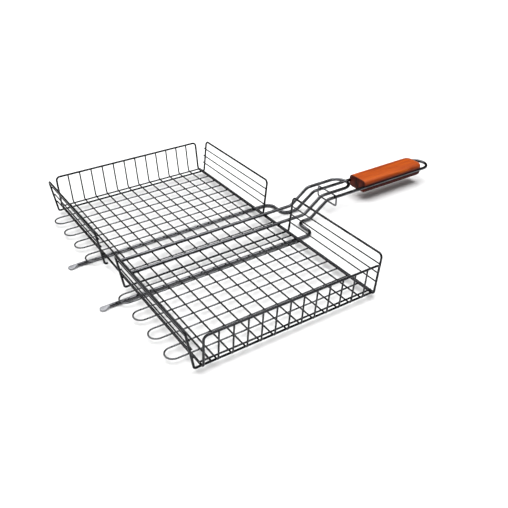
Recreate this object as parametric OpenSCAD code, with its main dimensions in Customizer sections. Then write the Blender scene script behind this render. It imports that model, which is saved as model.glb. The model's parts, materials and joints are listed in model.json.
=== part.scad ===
// Grill basket: a wire tray with end walls and a pull, nested in a base of looped cross wires
// with side panels, support rods, a sliding lock ring and a wooden grip.
// Units are millimetres. +X runs along the handle away from the tray, +Y along the tray's
// long side, +Z up. The origin is on the resting plane, under the middle of the whole basket.
// The sub-parts are drawn about the middle of the tray and then moved along X by framed().

/* [Tray] */
// Distance between the two long side rails, centre to centre
tray_width = 241.8; // [200:0.1:300]
// Distance between the two cross rails at the ends of the floor, centre to centre
tray_length = 434; // [360:1:520]
// Number of long floor wires between the side rails
floor_wires = 12; // [8:1:16]
// Height of the top of the end walls above the resting plane
end_wall_top = 54.4; // [40:0.1:70]
// Outward lean of the end walls at their top
end_wall_lean = 5.2; // [0:0.1:12]
// Height of the top of the side panels above the resting plane
panel_top = 58.9; // [44:0.1:76]
// Outward lean of the side panels, in degrees
panel_lean = 8; // [0:0.5:15]
// Clear half width of the gap between the two panels of one side
panel_gap = 33; // [28:1:45]

/* [Wire] */
// Radius of the thin grid wires
wire_r = 1.1; // [0.8:0.05:1.6]
// Radius of the rail and frame wires
rail_r = 1.5; // [1.2:0.05:2.2]
// Radius of the horizontal panel wires
slat_r = 0.95; // [0.7:0.05:1.4]
// Radius of the heavy support, handle and pull rods
rod_r = 2.5; // [2:0.1:3.5]
// Depth to which crossing wires sink into each other at a weld
weld = 0.2; // [0.1:0.05:0.4]

/* [Base] */
// Distance between neighbouring cross wires of the base
cross_pitch = 20.8; // [16:0.1:26]
// Distance from the middle of the tray to the first cross wire
cross_first = 47; // [40:0.1:60]
// Reach of the looped wire ends beyond the middle of the tray
loop_reach = 147; // [135:0.5:155]
// Distance of the left base rail from the middle of the tray
base_left = 108.5; // [105:0.1:112]
// Distance of the right base rail from the middle of the tray
base_right = 124.3; // [124:0.1:125]
// Clearance between the base and the tray that rests in it
nest_gap = 0.3; // [0.2:0.05:0.6]

/* [Handle] */
// Distance from the middle line to each handle rod
rod_half = 17.2; // [14:0.1:24]
// Distance from the middle line to each support rod
support_half = 55.8; // [45:0.1:70]
// Reach of the support rods on the side away from the handle
support_reach = 159; // [140:1:190]
// Height of the handle rods
handle_z = 24.9; // [16:0.1:36]
// Height of the raised end of the pull rods
pull_z = 35.1; // [30:0.1:46]
// Start of the wooden grip
grip_start = 285; // [260:1:320]
// End of the wooden grip
grip_end = 410; // [380:1:460]
// Width of the wooden grip
grip_width = 38; // [30:0.5:50]
// Thickness of the wooden grip
grip_thick = 20; // [15:0.5:28]

/* [Lock ring] */
// Position of the lock ring along the handle
ring_x = 225; // [218:1:280]
// Radius of the ring wire
ring_r = 1.3; // [1:0.05:2]
// Height of the ring between its two bars, centre to centre
ring_height = 16.4; // [12:0.1:24]

/* [Hidden] */
$fn = 28;
steel = [0.78, 0.79, 0.80];
bright = [0.86, 0.87, 0.88];
dull = [0.62, 0.63, 0.65];
timber = [0.72, 0.30, 0.08];

wire_pitch = tray_width / (floor_wires + 1);
side_x = tray_width / 2;
end_y = tray_length / 2;
support_z = rod_r;
cross_z = 2 * rod_r + wire_r - weld;
floor_z = cross_z + wire_r + nest_gap + rail_r;
wire_z = floor_z + rail_r - wire_r;
floor_rail_r = rail_r * 0.8;
floor_rail_z = floor_z + rail_r + floor_rail_r - weld;
// end walls: foot of the upright wires
foot_y = end_y + floor_rail_r + wire_r + 5.3;
foot_bend = 5;
end_angle = atan(end_wall_lean / (end_wall_top - floor_z));
end_rise = (end_wall_top - floor_z) / cos(end_angle);
frame_bend = 5.5;
slip = 0.01;
// side panels
panel_foot_x = side_x + 7.6;
panel_foot_z = cross_z + wire_r - rail_r;
panel_rise = (panel_top - rail_r - panel_foot_z) / cos(panel_lean);
slat_rise = [15.6, 27.8, 40.4];
panel_end = end_y;
// base: rails on top of the cross wires, ties between the feet of the panels
base_rail_r = 1.2;
base_rail_z = cross_z + wire_r + base_rail_r - weld;
base_rail_y = end_y + 1.5;
cross_right = side_x + 5.1;
foot_in = 1.54;
foot_end = panel_foot_x - 3 * tan((90 - panel_lean) / 2) - foot_in;
tie_r = rail_r - 0.1;
pull_rod_z = floor_z + rail_r + rod_r - weld;
// support and handle rods
turn_x = 156;
turn_r = 12;
ramp_x0 = 180;
ramp_x1 = 212;
ramp_r = 15;
loop_x = grip_end + 3;
// pull rods
pull_start = -112;
pull_ramp_x0 = 168;
pull_ramp_x1 = 199;
pull_loop_x = 264 - rod_r - rod_half;
// flattened ends of the support rods
tip_w = 9.4;
tip_h = 3;
tip_l = 13;

frame_x = (loop_x + rod_half + rod_r - support_reach - tip_l) / 2;
module framed() translate([-frame_x, 0, 0]) children();

// A bent wire: steps are [0, length] for a straight and [radius, angle, roll] for a bend.
// It starts along +Z and each bend turns towards +X after its roll about the wire.
// Straights stop short of the bends by slip, so that slanted pieces never touch edge on edge.
module bent_wire(steps, r, slip = 0, i = 0) {
  if (i < len(steps)) {
    s = steps[i];
    if (s[0] == 0) {
      translate([0, 0, slip]) cylinder(h = s[1] - 2 * slip, r = r);
      translate([0, 0, s[1]]) bent_wire(steps, r, slip, i + 1);
    } else {
      rotate([0, 0, s[2]]) {
        translate([s[0], 0, 0]) rotate([90, 0, 0]) rotate([0, 0, 180 - s[1]])
          rotate_extrude(angle = s[1]) translate([s[0], 0]) circle(r = r);
        translate([s[0] * (1 - cos(s[1])), 0, s[0] * sin(s[1])]) rotate([0, s[1], 0])
          bent_wire(steps, r, slip, i + 1);
      }
    }
  }
}

// A straight wire along X, from x0 to x1
module wire_x(x0, x1, y, z, r) { translate([x0, y, z]) rotate([0, 90, 0]) cylinder(h = x1 - x0, r = r); }
// A straight wire along Y, from y0 to y1
module wire_y(x, y0, y1, z, r) { translate([x, y0, z]) rotate([-90, 0, 0]) cylinder(h = y1 - y0, r = r); }

// Length of a straight between a bend's start and the corner it rounds
function bend_in(radius, angle) = radius * tan(angle / 2);

// ---- tray ----
module floor_wires() framed() color(steel)
  for (i = [1 : floor_wires])
    wire_y(-side_x + i * wire_pitch, -foot_y + foot_bend, foot_y - foot_bend, wire_z, wire_r);

module side_rail(x) framed() color(steel)
  wire_y(x, -foot_y + foot_bend, foot_y - foot_bend, floor_z, rail_r);
module side_rail_left() side_rail(-side_x);
module side_rail_right() side_rail(side_x);

module floor_rail(y) framed() color(steel) wire_x(-side_x - 1, side_x + 1, y, floor_rail_z, floor_rail_r);
module floor_rail_near() floor_rail(-end_y);
module floor_rail_far() floor_rail(end_y);

// One end wall: the floor wires turned up, inside a frame turned up from the side rails
module end_wall() color(steel) {
  turn = 90 - end_angle;
  straight = end_rise - bend_in(foot_bend, turn);
  for (i = [1 : floor_wires])
    translate([-side_x + i * wire_pitch, foot_y - foot_bend + 0.05, wire_z]) rotate([-90, 0, 0])
      bent_wire([[foot_bend, turn, -90], [0, straight - weld - wire_z + floor_z]], wire_r, slip);
  translate([-side_x, foot_y - foot_bend + 0.05, floor_z]) rotate([-90, 0, 0])
    bent_wire([[foot_bend, turn, -90], [0, straight - frame_bend], [frame_bend, 90, 90],
               [0, tray_width - 2 * frame_bend], [frame_bend, 90, 0], [0, straight - frame_bend],
               [foot_bend, turn, -90]], rail_r, slip);
}
module end_wall_far() framed() end_wall();
module end_wall_near() framed() mirror([0, 1, 0]) end_wall();

// One side panel: a bent frame wire with three horizontal wires welded inside it
module panel() color(steel) {
  span = panel_end - panel_gap;
  translate([panel_foot_x, 0, panel_foot_z]) rotate([0, panel_lean, 0]) {
    foot = 3;
    start = bend_in(foot, 90 - panel_lean);
    translate([0, panel_gap, start])
      bent_wire([[0, panel_rise - start - frame_bend], [frame_bend, 90, 90],
                 [0, span - 2 * frame_bend], [frame_bend, 90, 0],
                 [0, panel_rise - start - frame_bend]], rail_r, slip);
    for (rise = slat_rise)
      wire_y(-rail_r - slat_r + weld, panel_gap - 1, panel_end + 1, rise, slat_r);
    for (y = [panel_gap, panel_end]) translate([0, y, start]) rotate([180, 0, 0])
      bent_wire([[foot, 90 - panel_lean, 180], [0, foot_in]], rail_r, slip);
  }
}
module panel_right_far() framed() panel();
module panel_right_near() framed() mirror([0, 1, 0]) panel();
module panel_left_far() framed() mirror([1, 0, 0]) panel();
module panel_left_near() framed() mirror([1, 0, 0]) mirror([0, 1, 0]) panel();

// ---- support rods and handle ----
support_end = turn_x - turn_r;
module support_rod(y) framed() color(bright) wire_x(-support_reach, support_end, y, support_z, rod_r);
module support_rod_near() support_rod(-support_half);
module support_rod_far() support_rod(support_half);

// The flattened end of a support rod, which lies on the edge of the brazier
module rest_tip(y) framed() color(dull) translate([-support_reach, y, 0]) {
  translate([-tip_l + tip_w / 2, 0, 0]) difference() {
    cylinder(h = tip_h, r = tip_w / 2);
    translate([0.5, -tip_w, -1]) cube([tip_w, 2 * tip_w, tip_h + 2]);
  }
  translate([-tip_l + tip_w / 2 + 0.5, -tip_w / 2, 0]) cube([tip_l - tip_w / 2 - 0.5, tip_w, tip_h]);
  translate([-7, 0, support_z + 0.3]) rotate([0, 90, 0]) cylinder(h = 7, r1 = 1.6, r2 = rod_r - 0.3);
}
module rest_tip_near() rest_tip(-support_half);
module rest_tip_far() rest_tip(support_half);

module handle_rod() color(bright) {
  jog = support_half - rod_half;
  ramp = atan((handle_z - support_z) / (ramp_x1 - ramp_x0));
  slope = norm([handle_z - support_z, ramp_x1 - ramp_x0]);
  b = bend_in(ramp_r, ramp);
  translate([support_end, support_half, support_z]) rotate([0, 90, 0])
    bent_wire([[turn_r, 90, -90], [0, jog - 2 * turn_r], [turn_r, 90, 180],
               [0, ramp_x0 - turn_x - turn_r - b], [ramp_r, ramp, 90],
               [0, slope - 2 * b], [ramp_r, ramp, 180], [0, loop_x - ramp_x1 - b]],
              rod_r, slip);
}
module handle_rod_far() framed() handle_rod();
module handle_rod_near() framed() mirror([0, 1, 0]) handle_rod();

module hanging_loop() framed() color(bright)
  translate([loop_x, 0, handle_z]) rotate([0, 0, -90]) rotate_extrude(angle = 180)
    translate([rod_half, 0]) circle(r = rod_r);

function rounded(w, h, c, n) = [
  for (q = [0 : 3]) for (k = [0 : n])
    let (a = 90 * q + 90 * k / n, sx = (q == 0 || q == 3) ? 1 : -1, sy = q < 2 ? 1 : -1)
    [sx * (w / 2 - c) + c * cos(a), sy * (h / 2 - c) + c * sin(a)]];

// A wooden block with a groove along each side for the handle rods
module grip() framed() color(timber) {
  length = grip_end - grip_start;
  translate([(grip_start + grip_end) / 2, 0, handle_z]) difference() {
    intersection() {
      rotate([0, 90, 0]) rotate([0, 0, 90]) translate([0, 0, -length])
        linear_extrude(height = 2 * length) polygon(rounded(grip_width, grip_thick, 5, 5));
      translate([0, 0, -grip_thick]) linear_extrude(height = 2 * grip_thick)
        polygon(rounded(length, grip_width, 7, 6));
    }
    for (s = [-1, 1]) translate([-length, s * rod_half, 0]) rotate([0, 90, 0]) {
      cylinder(h = 2 * length, r = rod_r + 0.05);
      translate([-rod_r + 0.4, s > 0 ? 0.9 : -6.9, 0]) cube([2 * rod_r - 0.8, 6, 2 * length]);
    }
  }
}

// ---- base ----
module base_rail(x) framed() color(steel) wire_y(x, -base_rail_y, base_rail_y, base_rail_z, base_rail_r);
module base_rail_left() base_rail(-base_left);
module base_rail_right() base_rail(base_right);

// A tie joins the feet of the left and right panels
module tie(y) framed() color(steel) wire_x(-foot_end - weld, foot_end + weld, y, panel_foot_z, tie_r);
module end_tie_near() tie(-panel_end);
module end_tie_far() tie(panel_end);
module inner_tie() tie(-panel_gap);
module middle_wire() framed() color(steel) wire_x(-base_left - 3, cross_right, 0, cross_z, wire_r);

// Four hairpin wires: two cross wires each, joined by a loop that passes out under the panel
module loop_wires() color(steel) {
  turn = cross_pitch / 2;
  straight = cross_right + loop_reach - wire_r - turn;
  for (k = [0 : 3])
    translate([cross_right, cross_first + 2 * k * cross_pitch, cross_z]) rotate([0, -90, 0])
      bent_wire([[0, straight], [turn, 180, 90], [0, straight]], wire_r);
}
module loop_wires_far() framed() loop_wires();
module loop_wires_near() framed() mirror([0, 1, 0]) loop_wires();

// Two rods across the tray that rise and join in a rounded pull above the handle rods
module pull_rods() framed() color(bright) {
  ramp = atan((pull_z - pull_rod_z) / (pull_ramp_x1 - pull_ramp_x0));
  slope = norm([pull_z - pull_rod_z, pull_ramp_x1 - pull_ramp_x0]);
  b = bend_in(ramp_r, ramp);
  out = pull_loop_x - pull_ramp_x1 - b;
  translate([pull_start, rod_half, pull_rod_z]) rotate([0, 90, 0])
    bent_wire([[0, pull_ramp_x0 - pull_start - b], [ramp_r, ramp, 180], [0, slope - 2 * b],
               [ramp_r, ramp, 180], [0, out], [rod_half, 180, -90], [0, out],
               [ramp_r, ramp, 90], [0, slope - 2 * b], [ramp_r, ramp, 180],
               [0, pull_ramp_x0 - pull_start - b]], rod_r, slip);
}

// ---- lock ring ----
// A closed wire loop round the two handle rods; its top bar hangs on them
ring_half = rod_half + rod_r + ring_r + 1;
ring_top = handle_z + rod_r + ring_r + 0.1;
ring_bend = 3.2;
module lock_ring() framed() color(bright)
  translate([ring_x, 0, ring_top - ring_height / 2]) rotate([0, 90, 0])
    for (q = [0 : 3]) rotate([0, 0, 90 * q]) {
      a = q % 2 == 0 ? ring_height / 2 : ring_half;
      c = q % 2 == 0 ? ring_half : ring_height / 2;
      translate([a, -c + ring_bend, 0]) rotate([-90, 0, 0])
        cylinder(h = 2 * (c - ring_bend), r = ring_r);
      translate([a - ring_bend, c - ring_bend, 0]) rotate_extrude(angle = 90)
        translate([ring_bend, 0]) circle(r = ring_r);
    }

floor_wires();
side_rail_left();
side_rail_right();
floor_rail_near();
floor_rail_far();
end_wall_near();
end_wall_far();
panel_left_near();
panel_left_far();
panel_right_near();
panel_right_far();
support_rod_near();
support_rod_far();
rest_tip_near();
rest_tip_far();
handle_rod_near();
handle_rod_far();
hanging_loop();
grip();
base_rail_left();
base_rail_right();
end_tie_near();
end_tie_far();
inner_tie();
middle_wire();
loop_wires_near();
loop_wires_far();
pull_rods();
lock_ring();
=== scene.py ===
"""Looks of the grill basket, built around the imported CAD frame. Metres, same frame as the CAD."""

import json
import math

import bmesh
import bpy
from mathutils import Matrix, Vector


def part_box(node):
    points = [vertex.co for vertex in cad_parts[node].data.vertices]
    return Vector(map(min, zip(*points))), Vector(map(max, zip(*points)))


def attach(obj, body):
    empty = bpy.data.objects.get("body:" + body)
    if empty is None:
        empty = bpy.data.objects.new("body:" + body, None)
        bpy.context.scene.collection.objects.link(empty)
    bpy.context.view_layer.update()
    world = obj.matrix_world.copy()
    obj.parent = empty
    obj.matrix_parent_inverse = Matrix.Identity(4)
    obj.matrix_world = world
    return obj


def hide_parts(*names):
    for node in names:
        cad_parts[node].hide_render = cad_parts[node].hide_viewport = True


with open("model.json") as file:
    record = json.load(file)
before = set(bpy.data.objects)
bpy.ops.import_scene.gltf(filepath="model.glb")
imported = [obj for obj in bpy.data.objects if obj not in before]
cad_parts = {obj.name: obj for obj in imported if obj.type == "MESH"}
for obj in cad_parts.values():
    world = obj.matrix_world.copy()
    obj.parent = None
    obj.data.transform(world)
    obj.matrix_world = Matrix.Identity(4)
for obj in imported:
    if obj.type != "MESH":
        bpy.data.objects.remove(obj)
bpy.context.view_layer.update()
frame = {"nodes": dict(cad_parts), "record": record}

MM = 0.001

# Where the tray's own middle lies along X, measured from the frame's origin
TRAY_X = (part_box("side_rail_left")[0][0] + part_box("side_rail_right")[1][0]) / 2


# ---------------------------------------------------------------- node helpers
class Shader:
    """A material's node tree, with short calls for the nodes used here."""

    def __init__(self, name):
        self.material = bpy.data.materials.new(name)
        self.material.use_nodes = True
        self.tree = self.material.node_tree
        self.tree.nodes.clear()
        self.bsdf = self.add("ShaderNodeBsdfPrincipled")
        out = self.add("ShaderNodeOutputMaterial")
        self.link(self.bsdf.outputs["BSDF"], out.inputs["Surface"])
        self.coords = self.add("ShaderNodeTexCoord").outputs["Object"]

    def add(self, kind, **values):
        node = self.tree.nodes.new(kind)
        for key, value in values.items():
            setattr(node, key, value)
        return node

    def link(self, a, b):
        self.tree.links.new(a, b)

    def set(self, **values):
        for key, value in values.items():
            self.bsdf.inputs[key.replace("_", " ")].default_value = value

    def place(self, scale, offset=(0, 0, 0), turn=(0, 0, 0)):
        node = self.add("ShaderNodeMapping")
        node.inputs["Scale"].default_value = scale
        node.inputs["Location"].default_value = offset
        node.inputs["Rotation"].default_value = turn
        self.link(self.coords, node.inputs["Vector"])
        return node.outputs["Vector"]

    def noise(self, vector, scale, detail=4.0, rough=0.55, warp=0.0):
        node = self.add("ShaderNodeTexNoise")
        node.inputs["Scale"].default_value = scale
        node.inputs["Detail"].default_value = detail
        node.inputs["Roughness"].default_value = rough
        node.inputs["Distortion"].default_value = warp
        self.link(vector, node.inputs["Vector"])
        return node.outputs["Fac"]

    def ramp(self, value, stops):
        node = self.add("ShaderNodeValToRGB")
        elements = node.color_ramp.elements
        for i, (place, colour) in enumerate(stops):
            e = elements[i] if i < 2 else elements.new(place)
            e.position = place
            e.color = (*colour, 1) if len(colour) == 3 else colour
        self.link(value, node.inputs["Fac"])
        return node.outputs["Color"]

    def range(self, value, lo, hi, out_lo, out_hi):
        node = self.add("ShaderNodeMapRange")
        for key, v in zip(("From Min", "From Max", "To Min", "To Max"), (lo, hi, out_lo, out_hi)):
            node.inputs[key].default_value = v
        self.link(value, node.inputs["Value"])
        return node.outputs["Result"]

    def mix(self, factor, a, b, mode="MIX"):
        node = self.add("ShaderNodeMix", data_type="RGBA", blend_type=mode)
        for socket, value in ((node.inputs[0], factor), (node.inputs[6], a), (node.inputs[7], b)):
            if isinstance(value, (int, float)):
                socket.default_value = value
            elif isinstance(value, tuple):
                socket.default_value = (*value, 1)
            else:
                self.link(value, socket)
        return node.outputs[2]

    def math(self, kind, a, b=0.0):
        node = self.add("ShaderNodeMath", operation=kind)
        for socket, value in zip(node.inputs, (a, b)):
            if isinstance(value, (int, float)):
                socket.default_value = value
            else:
                self.link(value, socket)
        return node.outputs[0]

    def axis(self, letter):
        node = self.add("ShaderNodeSeparateXYZ")
        self.link(self.coords, node.inputs[0])
        return node.outputs[letter]

    def bump(self, height, strength, distance, under=None):
        node = self.add("ShaderNodeBump")
        node.inputs["Strength"].default_value = strength
        node.inputs["Distance"].default_value = distance
        self.link(height, node.inputs["Height"])
        if under is not None:
            self.link(under, node.inputs["Normal"])
        return node.outputs["Normal"]

    def feed(self, socket, name):
        self.link(socket, self.bsdf.inputs[name])


def plated(name, light, dark, smooth, rough, dent):
    """Plated steel: cloudy patches, fine specks and a slightly uneven surface."""
    s = Shader(name)
    s.set(Metallic=1.0)
    here = s.place((1, 1, 1))
    cloud = s.noise(here, 38, 5, 0.6, 0.4)
    speck = s.noise(here, 900, 3, 0.7)
    patch = s.math("MULTIPLY", cloud, speck)
    s.feed(s.ramp(patch, [(0.12, dark), (0.34, light)]), "Base Color")
    s.feed(s.range(cloud, 0.3, 0.7, smooth, rough), "Roughness")
    fine = s.bump(speck, 0.25, dent * 0.25)
    s.feed(s.bump(s.noise(here, 240, 3, 0.5), 0.5, dent, fine), "Normal")
    return s.material


def stained_wood(name, x_lo, x_hi, z_mid, half):
    """Red-orange stained hardwood under varnish; grain runs along X; darker end grain, and painted
    shade on the lower part.
    """
    s = Shader(name)
    grain = s.noise(s.place((9, 130, 130), turn=(0.1, 0.02, 0.03)), 1.0, 6, 0.6, 1.6)
    band = s.noise(s.place((3.2, 44, 30), offset=(3, 1, 2)), 1.0, 3, 0.5, 0.8)
    pores = s.noise(s.place((60, 1500, 1500)), 1.0, 2, 0.6)
    tone = s.ramp(grain, [(0.30, (0.24, 0.032, 0.004)), (0.5, (0.46, 0.072, 0.003)),
                          (0.72, (0.64, 0.135, 0.006))])
    tone = s.mix(s.range(band, 0.35, 0.7, 0.0, 0.55), tone, (0.40, 0.062, 0.006))
    tone = s.mix(s.range(pores, 0.60, 0.74, 0.0, 0.55), tone, (0.10, 0.015, 0.004))
    # painted shade: from about a third of the way up, the grip darkens towards near black (0.040,
    # 0.003, 0.002) at its underside
    painted_underside_shade = s.range(s.axis("Z"), z_mid + half * 0.30, z_mid + half * 0.94, 1.0, 0.0)
    tone = s.mix(painted_underside_shade, tone, (0.040, 0.003, 0.002))
    x = s.axis("X")
    end_a = s.range(x, x_lo + 0.0003, x_lo + 0.0016, 1.0, 0.0)
    end_b = s.range(x, x_hi - 0.003, x_hi, 0.0, 0.85)
    streak = s.noise(s.place((1, 260, 60)), 1.0, 3, 0.6)
    grey = s.ramp(streak, [(0.35, (0.015, 0.004, 0.003)), (0.65, (0.11, 0.016, 0.008))])
    tone = s.mix(s.math("MAXIMUM", end_a, end_b), tone, grey)
    s.feed(tone, "Base Color")
    s.feed(s.range(band, 0.3, 0.7, 0.34, 0.46), "Roughness")
    # the painted underside shade and the darker end grain also lose varnish coat and specular
    painted_shade_and_end_grain = s.math("MAXIMUM", painted_underside_shade, s.math("MAXIMUM", end_a, end_b))
    s.feed(s.range(painted_shade_and_end_grain, 0.0, 1.0, 0.14, 0.0), "Coat Weight")
    s.feed(s.range(painted_shade_and_end_grain, 0.0, 1.0, 0.24, 0.05), "Specular IOR Level")
    s.set(Coat_Roughness=0.2)
    fine = s.bump(pores, 0.35, 0.00005)
    s.feed(s.bump(grain, 0.35, 0.00018, fine), "Normal")
    return s.material


wire = plated("plated_wire", (0.040, 0.041, 0.044), (0.012, 0.0125, 0.014), 0.10, 0.22, 0.00004)
# lighter copy of the same plated steel, painted light: the cross wires get it to look as if they catch
# more light than the floor wires
lit_wire = plated("plated_wire_painted_light", (0.15, 0.152, 0.158), (0.06, 0.062, 0.066), 0.14, 0.28, 0.00004)
rod = plated("bright_rod", (0.13, 0.132, 0.14), (0.03, 0.031, 0.034), 0.06, 0.14, 0.00003)
tip = plated("flattened_tip", (0.36, 0.365, 0.38), (0.20, 0.205, 0.22), 0.5, 0.62, 0.00008)
grip_lo, grip_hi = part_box("grip")
wood = stained_wood("stained_wood", grip_lo[0], grip_hi[0], (grip_lo[2] + grip_hi[2]) / 2,
                    (grip_hi[2] - grip_lo[2]) / 2)
finishes = {"plated_wire": wire, "bright_rod": rod, "flattened_tip": tip, "stained_wood": wood}
slot_of = {row["node"]: row["material_slot"] for row in frame["record"]["subparts"]}
for node, obj in frame["nodes"].items():
    for place in obj.material_slots:
        # the loop and middle cross wires take the lighter copy of the plated wire, which is painted
        # light
        crossing = node.startswith(("loop_wires", "middle_wire"))
        place.material = lit_wire if crossing else finishes[slot_of[node]]


def loft(name, rings, finish):
    """A closed surface through rings of points, smooth shaded."""
    mesh = bmesh.new()
    rows = [[mesh.verts.new(p) for p in ring] for ring in rings]
    count = len(rows[0])
    for a, b in zip(rows, rows[1:]):
        for i in range(count):
            j = (i + 1) % count
            mesh.faces.new((a[i], a[j], b[j], b[i]))
    mesh.faces.new(rows[0][::-1])
    mesh.faces.new(rows[-1])
    bmesh.ops.recalc_face_normals(mesh, faces=mesh.faces)
    for face in mesh.faces:
        face.smooth = True
    data = bpy.data.meshes.new(name)
    mesh.to_mesh(data)
    mesh.free()
    data.materials.append(finish)
    obj = bpy.data.objects.new(name, data)
    bpy.context.collection.objects.link(obj)
    return obj


def power(value, exponent):
    """A power that keeps the sign, for rounded-box outlines."""
    return math.copysign(abs(value) ** exponent, value)


def grip_block():
    """The wooden grip: a crowned block, rounded in plan at its far end, grooved for the rods."""
    lo, hi = Vector(grip_lo), Vector(grip_hi)
    middle, half_w, half_h = (lo + hi) / 2, (hi.y - lo.y) / 2, (hi.z - lo.z) / 2
    groove_r, rod_y = 2.62 * MM, 17.2 * MM
    corners, crown = 0.32, 0.52  # the smaller, the squarer
    points = 44
    profile = []
    for i in range(points):
        a = math.tau * (i + 0.5) / points
        profile.append((half_w * power(math.cos(a), corners), half_h * power(math.sin(a), crown)))
    # each ring: place along X, inset of the sides, inset of top and bottom
    near_r, far_r = 1.2 * MM, 10 * MM
    far_side, far_top = 9 * MM, 2 * MM
    near_steps, body_steps, far_steps = 6, 24, 12
    x_a, x_b = lo.x + near_r, hi.x - far_r
    rings = []
    for k in range(near_steps, -1, -1):
        t = math.radians(90 * k / near_steps)
        inset = near_r * (1 - math.cos(t))
        rings.append((lo.x + near_r * (1 - math.sin(t)), inset, inset))
    for k in range(1, body_steps):
        rings.append((x_a + (x_b - x_a) * k / body_steps, 0, 0))
    for k in range(far_steps + 1):
        t = math.radians(90 * k / far_steps)
        fall = 1 - math.cos(t)
        rings.append((x_b + far_r * math.sin(t), far_side * fall, far_top * fall))
    outlines = []
    for x, in_y, in_z in rings:
        sy, sz = 1 - in_y / half_w, 1 - in_z / half_h
        outlines.append([(x, middle.y + y * sy, middle.z + z * sz) for y, z in profile])
    block = loft("grip_wood", outlines, wood)
    # one bore for each rod, opened to the side by two slightly narrower ones
    cutter = bmesh.new()
    for side_y in (-1, 1):
        for reach, r in ((0.0, groove_r), (1.4, groove_r * 0.86), (2.8, groove_r * 0.86)):
            bore = bmesh.ops.create_cone(cutter, cap_ends=True, segments=28, radius1=r, radius2=r,
                                         depth=hi.x - lo.x + 0.02)["verts"]
            bmesh.ops.rotate(cutter, verts=bore, matrix=Matrix.Rotation(math.radians(90), 3, "Y"))
            bmesh.ops.translate(cutter, verts=bore,
                                vec=(middle.x, side_y * (rod_y + reach * MM), middle.z))
    data = bpy.data.meshes.new("groove")
    cutter.to_mesh(data)
    cutter.free()
    tool = bpy.data.objects.new("groove", data)
    bpy.context.collection.objects.link(tool)
    cut = block.modifiers.new("grooves", "BOOLEAN")
    cut.operation = "DIFFERENCE"
    cut.solver = "EXACT"
    cut.use_self = True
    cut.object = tool
    bpy.context.view_layer.update()
    graph = bpy.context.evaluated_depsgraph_get()
    done = bpy.data.meshes.new_from_object(block.evaluated_get(graph))
    block.modifiers.clear()
    block.data = done
    bpy.data.objects.remove(tool, do_unlink=True)
    for face in done.polygons:
        face.use_smooth = True
    done.set_sharp_from_angle(angle=math.radians(35))
    return block


def rest_tip(node):
    """The flattened end of a support rod: the round bar swells out into a thin rounded tongue."""
    lo, hi = Vector(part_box(node)[0]), Vector(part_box(node)[1])
    mid_y, wide, length = (lo.y + hi.y) / 2, (hi.y - lo.y) / 2, hi.x - lo.x
    rod_radius, half_thick, low_z = 2.5 * MM, 1.5 * MM, 1.55 * MM
    steps, points = 26, 32
    nose_end, neck_start = 0.30, 0.42  # as fractions of the length
    rings = []
    for k in range(steps + 1):
        x = lo.x + length * (k / steps) ** 1.6
        u = (x - lo.x) / length
        nose = min(1.0, u / nose_end)
        plan = math.sqrt(max(0.0, 1 - (1 - nose) ** 2))
        blend = min(1.0, max(0.0, (u - neck_start) / (1 - neck_start)))
        blend = blend * blend * (3 - 2 * blend)
        half_w = max(0.4 * MM, wide * plan * (1 - blend) + rod_radius * blend)
        half_t = half_thick * (1 - blend) * (0.45 + 0.55 * plan) + rod_radius * blend
        z = low_z * (1 - blend) + rod_radius * blend
        square = 0.62 * (1 - blend) + blend
        ring = []
        for i in range(points):
            a = math.tau * i / points
            ring.append((x, mid_y + half_w * power(math.cos(a), square),
                         z + half_t * power(math.sin(a), square)))
        rings.append(ring)
    return loft(node + "_forged", rings, tip)


grip_piece = grip_block()
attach(grip_piece, "basket")
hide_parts("grip")
for node in ("rest_tip_near", "rest_tip_far"):
    piece = rest_tip(node)
    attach(piece, "basket")
    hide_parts(node)

# ---------------------------------------------------------------- floor, light, camera
floor_mesh = bpy.data.meshes.new("floor")
side = 9.0
floor_mesh.from_pydata([(-side, -side, 0), (side, -side, 0), (side, side, 0), (-side, side, 0)],
                       [], [(0, 1, 2, 3)])
floor = bpy.data.objects.new("floor", floor_mesh)
floor.location.z = -0.0002
bpy.context.collection.objects.link(floor)
paint = Shader("floor_white")
paint.set(Base_Color=(0.93, 0.93, 0.93, 1), Roughness=0.9, Specular_IOR_Level=0.0)
floor_mesh.materials.append(paint.material)

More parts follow.
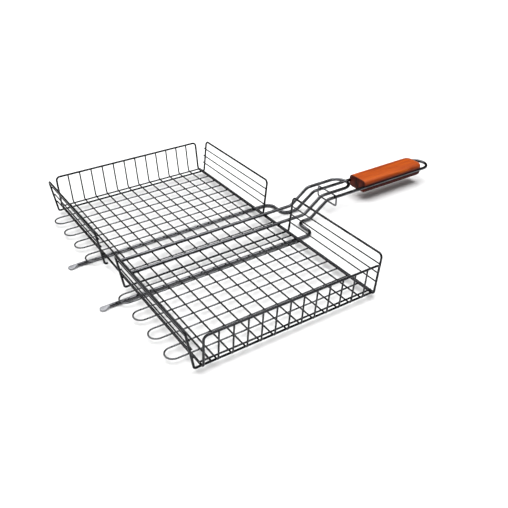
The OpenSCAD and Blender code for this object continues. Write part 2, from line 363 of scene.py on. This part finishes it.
world = bpy.data.worlds.new("studio")
bpy.context.scene.world = world
world.use_nodes = True
tree = world.node_tree
tree.nodes.clear()
out = tree.nodes.new("ShaderNodeOutputWorld")
back = tree.nodes.new("ShaderNodeBackground")
tree.links.new(back.outputs[0], out.inputs[0])
where = tree.nodes.new("ShaderNodeTexCoord")
split = tree.nodes.new("ShaderNodeSeparateXYZ")
tree.links.new(where.outputs["Generated"], split.inputs[0])
sky = tree.nodes.new("ShaderNodeValToRGB")
for i, (place, level) in enumerate([(0.0, 0.015), (0.5, 0.04), (0.8, 0.25), (1.0, 0.6)]):
    e = sky.color_ramp.elements[i] if i < 2 else sky.color_ramp.elements.new(place)
    e.position = place
    e.color = (level, level, level, 1)
tree.links.new(split.outputs["Z"], sky.inputs["Fac"])
path = tree.nodes.new("ShaderNodeLightPath")
pick = tree.nodes.new("ShaderNodeMix")
pick.data_type = "RGBA"
tree.links.new(path.outputs["Is Camera Ray"], pick.inputs[0])
tree.links.new(sky.outputs["Color"], pick.inputs[6])
pick.inputs[7].default_value = (1, 1, 1, 1)
tree.links.new(pick.outputs[2], back.inputs["Color"])


def area(name, place, aim, size, watts):
    light = bpy.data.lights.new(name, "AREA")
    light.shape = "RECTANGLE"
    light.size, light.size_y = size
    light.energy = watts
    obj = bpy.data.objects.new(name, light)
    obj.location = place
    obj.rotation_euler = (Vector(aim) - Vector(place)).to_track_quat("-Z", "Y").to_euler()
    bpy.context.collection.objects.link(obj)


area("key", (-0.3, 0.9, 2.3), (0, 0, 0), (2.6, 2.6), 30)
area("fill", (0.9, -0.6, 2.2), (0, 0, 0), (1.2, 1.2), 22)
area("front", (-0.9, -1.5, 0.5), (0, 0, 0.03), (1.6, 0.5), 9)
sun_data = bpy.data.lights.new("sky_panel", "SUN")
sun_data.energy = 2.1
sun_data.angle = math.radians(75)
sun = bpy.data.objects.new("sky_panel", sun_data)
sun.rotation_euler = Vector((0.15, -0.35, -1)).to_track_quat("-Z", "Y").to_euler()
bpy.context.collection.objects.link(sun)

camera_data = bpy.data.cameras.new("camera")
camera_data.sensor_width = 36.0
camera_data.lens = 46.57
camera_data.clip_start = 0.01
camera = bpy.data.objects.new("camera", camera_data)
bpy.context.collection.objects.link(camera)
heading, dip, roll = math.radians(57.28), math.radians(32.05), math.radians(-0.716)
forward = Vector((math.cos(dip) * math.cos(heading), math.cos(dip) * math.sin(heading), -math.sin(dip)))
right = forward.cross(Vector((0, 0, 1))).normalized()
up = right.cross(forward)
right, up = (right * math.cos(roll) + up * math.sin(roll), up * math.cos(roll) - right * math.sin(roll))
turn = Matrix((right, up, -forward)).transposed()
camera.matrix_world = Matrix.Translation((TRAY_X - 0.3621, -0.7027, 0.4848)) @ turn.to_4x4()
bpy.context.scene.camera = camera
bpy.context.scene.view_settings.view_transform = "Standard"
